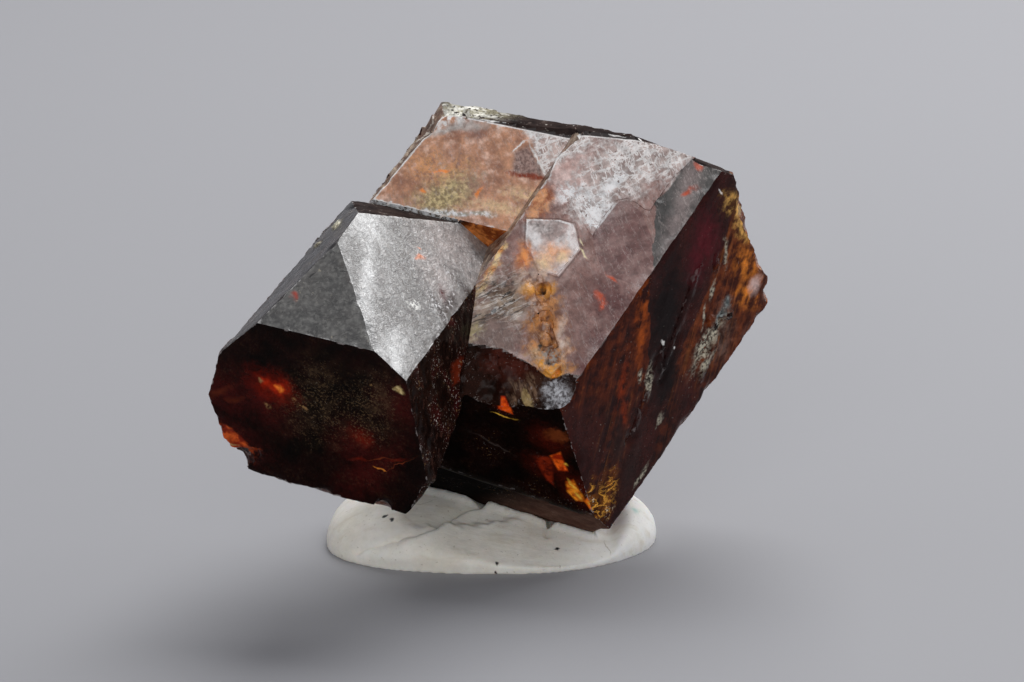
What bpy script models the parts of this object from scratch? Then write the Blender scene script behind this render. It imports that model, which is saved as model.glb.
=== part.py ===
"""Two intergrown zircon crystals propped on a mound of white mineral putty.

Metres, +Z up, the putty's flat underside on Z = 0, the larger crystal's
broken end toward +X, the small crystal toward -X and -Y.
"""
import math
import random

import bmesh
import bpy
from mathutils import Matrix, Vector, noise

for stale in list(bpy.data.objects):
    bpy.data.objects.remove(stale, do_unlink=True)

# ---------------------------------------------------------------- dimensions
MM = 0.001                   # solids are cut in millimetres, then scaled by this
SEED = 17
C_OVER_A = 0.9054            # zircon is tetragonal, this is its axial ratio
BLANK = 40.0                 # edge of the block each crystal is cut from, mm
WELD = 0.0005                # millimetres
SHARED_INSET = 0.03          # keeps overlapping growths from sharing a plane

# Each face is (Miller indices, distance of the plane from the centre in mm).
# The decimals in the indices are the small tilts of naturally grown faces.
MAIN_A1, MAIN_C = (0.6013, -0.5174, 0.6089), (0.3509, -0.5137, -0.7829)
MAIN_CENTRE = (2.57, 2.71, 9.4)
MAIN_FACES = {
    "prism_front": ((0.99, 1.00, 0.02), 5.38),
    "pyramid_right": ((1.00, -0.05, 0.98), 5.00),
    "pyramid_low": ((0.02, 1.00, 0.98), 6.30),
    "pyramid_top": ((0.93, 0.04, -1.00), 9.30),
    "pyramid_under": ((0.02, -1.00, 0.96), 6.46),
    "broken_end": ((1.00, -1.00, 0.00), 10.07),
    "bevel_low": ((-1.12, 1.31, 2.00), 7.09),
    "seat": ((-1.00, 0.01, 0.96), 8.07),
    "top_edge": ((0.73, -0.41, -1.00), 8.93),
    "back_top": ((0.00, -1.00, -1.00), 5.33),
    "back_left": ((-1.00, 0.09, -0.87), 5.94),
    "back": ((-1.00, -1.00, 0.00), 5.17),
    "top_bevel": ((1.00, -0.31, -0.87), 9.46),
    "left_end": ((-1.00, 1.00, 0.00), 7.54),
    "step_wall": ((-0.04, 1.00, -0.92), 5.29),
}
# The rear left part of the large crystal stands half a millimetre lower.
REAR_CHANGES = {
    "prism_front": ((0.99, 1.00, 0.02), 4.88),
    "pyramid_low": ((-0.04, 1.00, 0.93), -0.12),
    "step_wall": ((0.03, 0.95, -1.00), 10.24),
}
SMALL_A1, SMALL_C = (0.6685, -0.4126, 0.6188), (0.2898, -0.6218, -0.7276)
SMALL_CENTRE = (-5.73, -3.49, 10.9)
SMALL_FACES = {
    "prism_bright": ((1.00, -0.03, -0.01), 3.66),
    "prism_front": ((0.96, 1.00, 0.01), 5.30),
    "pyramid_low": ((0.02, 1.00, 0.98), 4.64),
    "sliver_left": ((-0.01, 0.98, -1.00), 4.20),
    "sliver_top": ((1.00, 0.06, -0.99), 5.48),
    "notch_side": ((2.00, -1.00, 1.00), 3.88),
    "under": ((-1.00, 0.02, 0.97), 6.17),
    "back_top": ((-0.17, -0.25, -1.00), 6.64),
    "back_left": ((-0.71, 0.74, -1.00), 3.82),
    "left_upper": ((-1.00, 0.60, -0.23), 5.76),
    "left_lower": ((-1.00, 0.34, 0.03), 6.05),
    "toe": ((0.35, -0.25, 1.00), 6.67),
    "right": ((0.05, -1.00, 0.62), 4.88),
    "back": ((-1.00, -1.00, 0.00), 3.23),
}

LEDGE_HEIGHT = 0.13          # growth layers on the large front prism face
HEX_HEIGHT = 0.10
STEP_COUNT, STEP_DROP = 3, 0.28     # parallel growth steps down the left edge
BREAK_RELIEF, CHIP_RELIEF = 0.42, 0.16

PUTTY_CENTRE = (-0.37, 3.41)
PUTTY_HALF_WIDTH, PUTTY_HALF_DEPTH = 7.15, 4.95
PUTTY_HEIGHT = 2.55
PUTTY_BULGE = 0.26           # how far the side swells past the base outline
PUTTY_SEGMENTS, PUTTY_RINGS = 88, 22
PUTTY_GAP = 0.30             # clearance round the pressed-in crystals
FOLD_LIFT = 0.32


# ------------------------------------------------------------------- helpers
def material(name, colour, roughness, transmission=0.0, ior=1.45):
    mat = bpy.data.materials.new(name)
    mat.use_nodes = True
    shader = mat.node_tree.nodes["Principled BSDF"]
    shader.inputs["Base Color"].default_value = (*colour, 1.0)
    shader.inputs["Roughness"].default_value = roughness
    shader.inputs["Transmission Weight"].default_value = transmission
    shader.inputs["IOR"].default_value = ior
    return mat


def axes_of(a1, c):
    """Right-handed crystal axes (a1, a2, c) from two measured directions."""
    c = Vector(c).normalized()
    a1 = Vector(a1)
    a1 = (a1 - c * a1.dot(c)).normalized()
    return a1, c.cross(a1), c


def normal_of(indices, axes):
    h, k, l = indices
    return (axes[0] * h + axes[1] * k + axes[2] * (l / C_OVER_A)).normalized()


def object_from(name, bm):
    mesh = bpy.data.meshes.new(name)
    bmesh.ops.recalc_face_normals(bm, faces=bm.faces)
    bm.to_mesh(mesh)
    bm.free()
    ob = bpy.data.objects.new(name, mesh)
    bpy.context.collection.objects.link(ob)
    return ob


def crystal(name, faces, axes, centre, grow=0.0):
    """Cut a block by every face plane; `grow` moves the planes outward."""
    bm = bmesh.new()
    bmesh.ops.create_cube(bm, size=BLANK)
    bmesh.ops.translate(bm, vec=Vector(centre), verts=bm.verts)
    for indices, distance in faces.values():
        n = normal_of(indices, axes)
        at = Vector(centre) + n * (distance + grow)
        bmesh.ops.bisect_plane(bm, geom=bm.verts[:] + bm.edges[:] + bm.faces[:],
                               plane_co=at, plane_no=n, clear_outer=True, dist=WELD)
        rim = [e for e in bm.edges if e.is_boundary]
        if rim:
            bmesh.ops.contextual_create(bm, geom=rim)
    return object_from(name, bm)


def face_frame(faces, key, axes, centre):
    """Foot point and (u, v, n) of a face: u climbs against c, v = n x u."""
    indices, distance = faces[key]
    n = normal_of(indices, axes)
    u = -axes[2]
    u = (u - n * u.dot(n)).normalized()
    return Vector(centre) + n * distance, u, n.cross(u), n


def on_face(frame, u, v, lift=0.0):
    foot, eu, ev, en = frame
    return foot + eu * u + ev * v + en * lift


def prism_on(frame, outline, below, above):
    """Closed plate standing on a face, its outline given in (u, v) mm."""
    bm = bmesh.new()
    low = [bm.verts.new(on_face(frame, u, v, -below)) for u, v in outline]
    high = [bm.verts.new(on_face(frame, u, v, above)) for u, v in outline]
    bm.faces.new(low)
    bm.faces.new(high)
    count = len(outline)
    for i in range(count):
        j = (i + 1) % count
        bm.faces.new((low[i], low[j], high[j], high[i]))
    return object_from("plate", bm)


def lump(point, frame, radii, relief, turn=0.0, detail=3, salt=0.0):
    """Uneven ellipsoid whose third radius points along the face normal."""
    _, eu, ev, en = frame
    spin = Matrix.Rotation(turn, 3, en)
    basis = Matrix((spin @ eu, spin @ ev, en)).transposed()
    bm = bmesh.new()
    bmesh.ops.create_icosphere(bm, subdivisions=detail, radius=1.0)
    for vert in bm.verts:
        d = vert.co.normalized()
        wave = noise.noise(d * 1.7 + Vector((salt, 3.1, 0.7)))
        wave += 0.5 * noise.noise(d * 4.1 + Vector((1.3, salt, 2.9)))
        scale = 1.0 + relief * wave
        local = Vector((d.x * radii[0], d.y * radii[1], d.z * radii[2])) * scale
        vert.co = point + basis @ local
    return object_from("lump", bm)


def rough_block(frame, relief, salt, reach=9.0, cells=26, lift=0.0, waves=0.45):
    """Block standing on a face plane with a broken, stepped underside."""
    bm = bmesh.new()
    rows = []
    for i in range(cells + 1):
        row = []
        for j in range(cells + 1):
            u = (2.0 * i / cells - 1.0) * reach
            v = (2.0 * j / cells - 1.0) * reach
            p = Vector((u * waves, v * waves, salt))
            h = noise.noise(p) + 0.45 * noise.noise(p * 2.3 + Vector((5.0, 1.0, 2.0)))
            ridge = abs(noise.noise(p * 0.8 + Vector((9.0, 4.0, 1.0))))
            depth = relief * (0.8 * h - 1.2 * ridge)
            row.append(bm.verts.new(on_face(frame, u, v, lift + depth)))
        rows.append(row)
    top = [[bm.verts.new(on_face(frame, su * reach, sv * reach, 7.0))
            for sv in (-1, 1)] for su in (-1, 1)]
    for i in range(cells):
        for j in range(cells):
            bm.faces.new((rows[i][j], rows[i + 1][j], rows[i + 1][j + 1], rows[i][j + 1]))
    bm.faces.new((top[0][0], top[1][0], top[1][1], top[0][1]))
    bm.faces.new([rows[0][j] for j in range(cells + 1)] + [top[0][1], top[0][0]])
    bm.faces.new([rows[-1][j] for j in range(cells + 1)] + [top[1][1], top[1][0]])
    bm.faces.new([rows[i][0] for i in range(cells + 1)] + [top[1][0], top[0][0]])
    bm.faces.new([rows[i][-1] for i in range(cells + 1)] + [top[1][1], top[0][1]])
    bmesh.ops.triangulate(bm, faces=bm.faces)
    return object_from("rough", bm)


def combine(target, tool, operation):
    """Boolean the tool into the target and drop the tool."""
    tool.hide_render = True
    tool.display_type = 'WIRE'
    mod = target.modifiers.new("cut", 'BOOLEAN')
    mod.operation = operation
    mod.solver = 'EXACT'
    mod.object = tool
    graph = bpy.context.evaluated_depsgraph_get()
    mesh = bpy.data.meshes.new_from_object(target.evaluated_get(graph))
    target.modifiers.clear()
    target.data = mesh
    bm = bmesh.new()
    bm.from_mesh(mesh)
    bmesh.ops.remove_doubles(bm, verts=bm.verts, dist=WELD)
    bmesh.ops.dissolve_degenerate(bm, edges=bm.edges, dist=WELD)
    bmesh.ops.triangulate(bm, faces=bm.faces)
    bm.to_mesh(mesh)
    bm.free()
    bpy.data.objects.remove(tool, do_unlink=True)


def tidy(ob):
    """Keep only the largest closed shell, facing out, and scale to metres."""
    bm = bmesh.new()
    bm.from_mesh(ob.data)
    seen, shells = set(), []
    for start in bm.faces:
        if start in seen:
            continue
        stack, shell = [start], []
        seen.add(start)
        while stack:
            face = stack.pop()
            shell.append(face)
            for edge in face.edges:
                for other in edge.link_faces:
                    if other not in seen:
                        seen.add(other)
                        stack.append(other)
        shells.append(shell)
    shells.sort(key=len)
    scraps = [face for shell in shells[:-1] for face in shell]
    if scraps:
        bmesh.ops.delete(bm, geom=scraps, context='FACES')
        bmesh.ops.delete(bm, geom=[v for v in bm.verts if not v.link_faces],
                         context='VERTS')
    bmesh.ops.recalc_face_normals(bm, faces=bm.faces)
    bmesh.ops.scale(bm, vec=(MM, MM, MM), verts=bm.verts)
    bm.to_mesh(ob.data)
    bm.free()


# --------------------------------------------------------- the large crystal
main_axes = axes_of(MAIN_A1, MAIN_C)
small_axes = axes_of(SMALL_A1, SMALL_C)
rear_faces = {key: (indices, distance - SHARED_INSET)
              for key, (indices, distance) in MAIN_FACES.items()}
rear_faces.update(REAR_CHANGES)


def main_frame(key, faces=MAIN_FACES):
    return face_frame(faces, key, main_axes, MAIN_CENTRE)


def small_frame(key):
    return face_frame(SMALL_FACES, key, small_axes, SMALL_CENTRE)


front, right = main_frame("prism_front"), main_frame("pyramid_right")
rear_front = main_frame("prism_front", rear_faces)
low = main_frame("pyramid_low")

cluster = crystal("zircon_crystals", MAIN_FACES, main_axes, MAIN_CENTRE)
combine(cluster, crystal("rear", rear_faces, main_axes, MAIN_CENTRE), 'UNION')

# Parallel growth steps: thinner copies of the rear part, each reaching a
# little further left and standing a little lower on the front.
for step in range(1, STEP_COUNT + 1):
    layer = {key: (indices, distance - SHARED_INSET * step)
             for key, (indices, distance) in rear_faces.items()}
    for key, change in (("step_wall", 0.11 * step), ("prism_front", -STEP_DROP * step),
                        ("pyramid_top", -0.35 * step), ("back_left", 0.06 * step),
                        ("pyramid_low", -0.10 * step)):
        indices, distance = layer[key]
        layer[key] = (indices, distance + change)
    combine(cluster, crystal("layer", layer, main_axes, MAIN_CENTRE), 'UNION')

# Growth layers on the front face: the sugary plateau and a six-sided island.
PLATEAU = ((6.6, -4.1), (5.4, -6.2), (3.7, -8.1), (3.3, -7.0), (2.5, -5.8),
           (2.2, -5.4), (3.1, -4.8), (3.2, -4.3), (2.7, -3.5), (2.1, -2.8),
           (3.2, -2.5), (4.5, -2.3), (5.1, -1.9), (5.9, -2.6))
ISLAND = ((3.7, -0.4), (3.8, -0.8), (3.3, -1.7), (2.4, -2.2), (1.8, -2.1),
          (1.1, -0.8), (1.6, -0.2), (2.8, -0.1))
combine(cluster, prism_on(front, PLATEAU, 0.4, LEDGE_HEIGHT), 'UNION')
combine(cluster, prism_on(front, ISLAND, 0.4, HEX_HEIGHT), 'UNION')

# --------------------------------------------------------- the small crystal
combine(cluster, crystal("small", SMALL_FACES, small_axes, SMALL_CENTRE), 'UNION')

# ------------------------------------------------ breaks, chips, pit, ridges
# The broken right end.
combine(cluster, rough_block(main_frame("broken_end"), BREAK_RELIEF, 2.0,
                             waves=0.62, lift=-0.62), 'DIFFERENCE')
# Shell-shaped chips along the edge between the front and lower faces,
# given as (u, v, lift) on the front face and three radii in mm.
CHIPS = (
    ((-2.55, 3.55, 0.10), (1.55, 1.35, 0.75)),
    ((-2.75, 2.55, 0.15), (1.40, 1.15, 0.70)),
    ((-3.35, 1.60, 0.20), (1.10, 1.00, 0.75)),
    ((-3.85, 0.75, 0.30), (0.85, 0.80, 0.70)),
    ((-4.30, -0.05, 0.20), (0.55, 0.60, 0.50)),
)
for index, ((u, v, lift), radii) in enumerate(CHIPS):
    tool = lump(on_face(front, u, v, lift), front, radii, CHIP_RELIEF,
                turn=0.5 * index, salt=index * 2.3)
    combine(cluster, tool, 'DIFFERENCE')

# The pitted orange band below the island: hollows, one deep hole, then
# grains of crust left standing in it.
PITS = ((0.75, 0.10, 0.12, 0.62), (0.20, 0.30, 0.14, 0.50), (-0.55, 0.42, 0.12, 0.60),
        (-1.30, 0.52, 0.12, 0.52), (-2.00, 0.66, 0.14, 0.62), (-2.70, 0.85, 0.10, 0.48))
for index, (u, v, lift, radius) in enumerate(PITS):
    combine(cluster, lump(on_face(front, u, v, lift), front,
                          (radius, radius * 0.75, 0.40), 0.35, salt=index * 1.9),
            'DIFFERENCE')
combine(cluster, lump(on_face(front, 0.85, 0.02, -0.15), front, (0.26, 0.22, 0.45), 0.2,
                      detail=2), 'DIFFERENCE')
rng = random.Random(SEED)
for index in range(9):
    along = index / 8.0
    u = 0.9 - 3.6 * along + rng.uniform(-0.12, 0.12)
    v = 0.35 + 0.75 * along + rng.uniform(-0.45, 0.35)
    size = rng.uniform(0.16, 0.30)
    combine(cluster, lump(on_face(front, u, v, -0.12), front,
                          (size * 1.3, size, size * 0.8), 0.35, turn=along * 5.0,
                          detail=2, salt=index + 11.0), 'UNION')

# Shallow wrinkled hollows on the front face left of the band.
for index, (u, v, radius) in enumerate(((1.30, 1.55, 0.75), (0.35, 1.95, 0.80),
                                        (-0.45, 1.45, 0.55), (2.35, 1.05, 0.50))):
    combine(cluster, lump(on_face(front, u, v, 0.28), front,
                          (radius, radius * 0.6, 0.38), 0.25, turn=0.8 * index,
                          salt=index + 4.0), 'DIFFERENCE')

# Crusts on the right face and along the top edge, on the small crystal's
# left face, and the grain at its lower tip: (frame, u, v, radii).
bright, small_low = small_frame("prism_bright"), small_frame("pyramid_low")
sliver = small_frame("sliver_left")
CRUSTS = (
    (right, 1.60, -4.37, (0.55, 0.40, 0.16)), (right, 2.35, -3.95, (0.50, 0.30, 0.20)),
    (right, 2.75, -4.70, (0.45, 0.32, 0.22)), (right, 0.85, -4.00, (0.40, 0.25, 0.14)),
    (right, 0.20, -0.75, (0.35, 0.16, 0.10)), (right, 5.20, -3.10, (0.50, 0.16, 0.12)),
    (rear_front, 9.30, 0.30, (0.14, 0.45, 0.12)), (rear_front, 9.40, 1.00, (0.12, 0.30, 0.10)),
    (front, 5.55, -5.90, (0.16, 0.40, 0.12)),
    (sliver, 2.13, -1.81, (0.40, 0.20, 0.14)), (sliver, 1.20, -1.05, (0.35, 0.16, 0.10)),
    (bright, -4.35, 2.75, (0.24, 0.20, 0.20)),
)
for index, (frame, u, v, radii) in enumerate(CRUSTS):
    combine(cluster, lump(on_face(frame, u, v, 0.0), frame, radii, 0.32,
                          turn=0.7 * index, detail=2, salt=index * 3.7), 'UNION')

# Long low ridges running down the right face.
for u0, v0, length, width in ((5.2, -2.2, 5.0, 0.35), (1.8, -1.2, 4.4, 0.28),
                              (3.4, -4.9, 3.6, 0.30)):
    outline = ((u0, v0), (u0 - 0.3, v0 + width), (u0 - length, v0 + width * 1.4 + 0.5),
               (u0 - length - 0.5, v0 + 0.75), (u0 - length * 0.5, v0 + 0.25))
    combine(cluster, prism_on(right, outline, 0.3, 0.07), 'UNION')

# Chips out of the small crystal's left end and lower corner.
for index, (u, v, lift, radii) in enumerate((
        (1.75, 5.05, 0.1, (0.75, 0.60, 0.85)), (0.55, 5.05, 0.2, (0.85, 0.55, 0.55)),
        (2.75, 4.75, 0.2, (0.60, 0.35, 0.45)), (-4.9, 1.9, 0.1, (0.45, 0.35, 0.35)))):
    combine(cluster, lump(on_face(small_low, u, v, lift), small_low, radii, 0.3,
                          turn=index, salt=index * 5.1 + 1.0), 'DIFFERENCE')
tidy(cluster)


# ----------------------------------------------------------------- the putty
def smooth_min(a, b, k):
    h = max(k - abs(a - b), 0.0) / k
    return min(a, b) - h * h * k * 0.25


def putty_top(x, y, dome):
    """Height of the kneaded top: a dome pressed down under the crystals."""
    seat = 2.02 - 0.155 * (x + 3.13) + 0.42 * (y - 1.21)
    edge = max(abs(x - 0.57) - 4.4, 0.0) * 0.9
    return smooth_min(dome, seat + edge + 0.10, 0.5)


def fold_line(x):
    """Front crease: y of the overlapping lip, rising toward the right."""
    return -0.64 + 0.30 * (x + 5.33) + 0.12 * math.sin(1.3 * x)


def putty():
    bm = bmesh.new()
    cx, cy = PUTTY_CENTRE
    rings = []
    for ring in range(PUTTY_RINGS):
        t = ring / PUTTY_RINGS
        row = []
        for seg in range(PUTTY_SEGMENTS):
            a = 2.0 * math.pi * seg / PUTTY_SEGMENTS
            ca, sa = math.cos(a), math.sin(a)
            lobes = 1.0 + 0.022 * math.sin(2 * a + 0.6) + 0.015 * math.sin(5 * a + 2.0)
            lobes += 0.012 * noise.noise(Vector((ca * 2, sa * 2, 4.0)))
            power = abs(ca) ** 2.35 + abs(sa) ** 2.35
            rim = lobes / power ** (1 / 2.35)
            sweep = t ** 0.8 * math.pi / 2.0
            reach = math.cos(sweep) ** 0.72 if ring else 1.0
            swell = PUTTY_BULGE * math.sin(min(sweep * 2.2, math.pi))
            x = cx + ca * (PUTTY_HALF_WIDTH * rim * reach + swell)
            y = cy + sa * (PUTTY_HALF_DEPTH * rim * reach + swell)
            dome = PUTTY_HEIGHT * math.sin(sweep)
            dome *= 1.0 + 0.05 * noise.noise(Vector((x * 0.35, y * 0.35, 1.0)))
            z = putty_top(x, y, dome) if ring > 1 else dome
            lip = fold_line(x) - y
            if ring and 0.0 < lip < 2.4 and -5.9 < x < 1.9:
                fade = min(1.0, lip / 0.18) * (1.0 - lip / 2.4)
                ends = min(1.0, (x + 5.9) / 1.2) * min(1.0, (1.9 - x) / 1.6)
                z += FOLD_LIFT * fade * ends * math.sin(sweep)
            row.append(bm.verts.new((x, y, max(z, 0.0))))
        rings.append(row)
    crown = bm.verts.new((cx, cy, PUTTY_HEIGHT * 0.97))
    bm.faces.new(list(reversed(rings[0])))
    for low_row, high_row in zip(rings, rings[1:]):
        for i in range(PUTTY_SEGMENTS):
            j = (i + 1) % PUTTY_SEGMENTS
            bm.faces.new((low_row[i], low_row[j], high_row[j], high_row[i]))
    for i in range(PUTTY_SEGMENTS):
        j = (i + 1) % PUTTY_SEGMENTS
        bm.faces.new((rings[-1][i], rings[-1][j], crown))
    bmesh.ops.triangulate(bm, faces=bm.faces)
    return object_from("putty_mound", bm)


mound = putty()
for faces, axes, centre in ((MAIN_FACES, main_axes, MAIN_CENTRE),
                            (SMALL_FACES, small_axes, SMALL_CENTRE)):
    combine(mound, crystal("seat_cutter", faces, axes, centre, PUTTY_GAP), 'DIFFERENCE')
tidy(mound)

cluster.data.materials.clear()
cluster.data.materials.append(material("zircon", (0.105, 0.018, 0.008), 0.18, 0.55, 1.95))
mound.data.materials.clear()
mound.data.materials.append(material("putty", (0.83, 0.80, 0.74), 0.48))
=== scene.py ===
"""Two zircon crystals on a mound of white putty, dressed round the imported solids."""
import math
from functools import reduce

import bmesh
import bpy
import numpy as np
from mathutils import Matrix, Vector, noise
from mathutils.bvhtree import BVHTree
from mathutils.kdtree import KDTree


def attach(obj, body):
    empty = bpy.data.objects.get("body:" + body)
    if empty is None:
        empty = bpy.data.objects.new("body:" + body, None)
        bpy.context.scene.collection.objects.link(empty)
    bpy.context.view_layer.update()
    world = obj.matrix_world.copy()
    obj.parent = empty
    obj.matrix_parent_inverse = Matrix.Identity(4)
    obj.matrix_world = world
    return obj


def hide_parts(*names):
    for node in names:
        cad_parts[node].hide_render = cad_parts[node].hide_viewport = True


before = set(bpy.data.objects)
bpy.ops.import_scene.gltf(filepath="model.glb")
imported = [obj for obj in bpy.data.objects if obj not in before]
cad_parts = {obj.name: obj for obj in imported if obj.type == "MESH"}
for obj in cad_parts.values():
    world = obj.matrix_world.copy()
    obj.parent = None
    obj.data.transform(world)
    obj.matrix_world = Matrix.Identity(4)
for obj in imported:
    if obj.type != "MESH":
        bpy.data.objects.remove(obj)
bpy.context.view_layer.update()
MM = .001

# ------ crystal lattice
C_OVER_A = .9054
MAIN_A1, MAIN_C = (.6013, -.5174, .6089), (.3509, -.5137, -.7829)
MAIN_CENTRE = (2.57, 2.71, 9.4)
SMALL_A1, SMALL_C = (.6685, -.4126, .6188), (.2898, -.6218, -.7276)
SMALL_CENTRE = (-5.73, -3.49, 10.9)
# (surface, Miller indices, distance from the crystal's centre in mm)
MAIN_FACES = (
    ("front", (.99, 1.0, .02), 5.38), ("front", (.99, 1.0, .02), 4.88),
    ("right", (1.0, -.05, .98), 5.0), ("low", (.02, 1.0, .98), 6.3),
    ("low", (-.04, 1.0, .93), -.12), ("top", (.93, .04, -1.0), 9.3),
    ("back", (.02, -1.0, .96), 6.46), ("low", (-1.12, 1.31, 2.0), 7.09),
    ("low", (-1.0, .01, .96), 8.07), ("top", (.73, -.41, -1.0), 8.93),
    ("back", (.0, -1.0, -1.0), 5.33), ("back", (-1.0, .09, -.87), 5.94),
    ("back", (-1.0, -1.0, .0), 5.17), ("top", (1.0, -.31, -.87), 9.46),
    ("back", (-1.0, 1.0, .0), 7.54), ("steps", (-.04, 1.0, -.92), 5.29),
    ("steps", (.03, .95, -1.0), 10.24),
)
SMALL_FACES = (
    ("bright", (1.0, -.03, -.01), 3.66), ("grey", (.96, 1.0, .01), 5.3),
    ("ember", (.02, 1.0, .98), 4.64), ("sliver", (-.01, .98, -1.0), 4.2),
    ("top", (1.0, .06, -.99), 5.48), ("notch", (2.0, -1.0, 1.0), 3.88),
    ("back", (-1.0, .02, .97), 6.17), ("back", (-.17, -.25, -1.0), 6.64),
    ("back", (-.71, .74, -1.0), 3.82), ("sliver", (-1.0, .6, -.23), 5.76),
    ("back", (-1.0, .34, .03), 6.05), ("notch", (.35, -.25, 1.0), 6.67),
    ("notch", (.05, -1.0, .62), 4.88), ("back", (-1.0, -1.0, .0), 3.23),
)
BROKEN_END = ((1.0, -1.0, .0), 10.07)
CHIP_V = (-.6, 0, .3, 1.1, 1.65, 2.35, 3.4, 4.5)      # edge of the chipped strip
CHIP_U = (-3.6, -3.3, -3.1, -3, -2.1, -1.2, -.5, .1)
TOP_V = (-6.6, -6.18, -5.38, -3.43, -1.98, -1.07, -.13, .8)    # rim of the dark top band
TOP_U = (5.15, 5.28, 5.74, 6.73, 7.65, 8.27, 8.93, 9.6)
LIFT_V = (-6, -4.7, -3.9, -2.4, -1.07, .5)                    # and how far it is raised
LIFT = (0, .055, .09, .16, .26, .32)
SURFACES = ("front", "right", "low", "top", "steps", "back", "bright", "grey",
            "sliver", "ember", "notch", "break", "chip")
CHIP_FROM, CHIP_TO = -.6, 5    # reach of the chipped strip along v
REMESH_DEPTH, REMESH_SCALE, PUTTY_VOXEL = 8, .66, .08
TURNED, ON_FACE = 3, .2    # mm off a lattice face: for a facet at right angles, and allowed
RIDGE = .3                 # radians between two facets that make a crystal edge
SHARP_DEGREES = 24
CONTACT, REACH = .02, .43     # mm: gap left under the stone, and how far putty is drawn to it


def axes_of(a1, c):
    c = Vector(c).normalized()
    a1 = Vector(a1)
    a1 = (a1 - c * a1.dot(c)).normalized()
    return a1, c.cross(a1), c


def face_frame(axes, centre, indices, distance):
    """Foot point, u (against c), v = n x u, and n of a face, in mm."""
    h, k, l = indices
    n = (axes[0] * h + axes[1] * k + axes[2] * (l / C_OVER_A)).normalized()
    u = -axes[2]
    u = (u - n * u.dot(n)).normalized()
    return Vector(centre) + n * distance, u, n.cross(u), n


main_axes, small_axes = axes_of(MAIN_A1, MAIN_C), axes_of(SMALL_A1, SMALL_C)
planes = [(s, face_frame(main_axes, MAIN_CENTRE, i, d)) for s, i, d in MAIN_FACES]
planes += [(s, face_frame(small_axes, SMALL_CENTRE, i, d)) for s, i, d in SMALL_FACES]
front, right, low = planes[0][1], planes[2][1], planes[3][1]
small0 = len(MAIN_FACES)
bright, grey, ember, sliver = (planes[small0 + i][1] for i in (0, 1, 2, 3))
end = face_frame(main_axes, MAIN_CENTRE, *BROKEN_END)


# ------ crystal mesh
def welded(node):
    """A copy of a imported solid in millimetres, its split corners joined."""
    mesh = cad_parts[node].data.copy()
    bm = bmesh.new()
    bm.from_mesh(mesh)
    bmesh.ops.scale(bm, vec=(1 / MM,) * 3, verts=bm.verts)
    bmesh.ops.remove_doubles(bm, verts=bm.verts, dist=.0008)
    bmesh.ops.recalc_face_normals(bm, faces=bm.faces)
    bm.to_mesh(mesh)
    bm.free()
    ob = bpy.data.objects.new(node + "_fine", mesh)
    bpy.context.scene.collection.objects.link(ob)
    return ob


def applied(ob):
    graph = bpy.context.evaluated_depsgraph_get()
    mesh = bpy.data.meshes.new_from_object(ob.evaluated_get(graph))
    ob.modifiers.clear()
    ob.data = mesh
    return mesh


def vectors(items, name):
    """A vector of every vertex or polygon, as rows of floats."""
    out = np.empty(len(items) * 3, np.float32)
    items.foreach_get(name, out)
    return out.reshape(-1, 3).astype(float)


def unit(x):
    return np.clip(x, 0, 1)


def bell(x, width):
    return np.exp(-(x / width) ** 2)


def local(points, face):
    """(u, v, height) of points in a face's own frame."""
    foot, u, v, n = (np.array(x) for x in face)
    rel = points - foot
    return rel @ u, rel @ v, rel @ n


def field(points, scale, salt=0.0, octaves=1):
    """Smooth noise at each point, scale per mm (one number or three)."""
    q = points * np.array(scale) + salt
    out = np.array([noise.noise(p) for p in map(Vector, q)])
    if octaves > 1:
        out += .5 * field(points, np.array(scale) * 2.1, salt + 7.3, octaves - 1)
    return out


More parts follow.
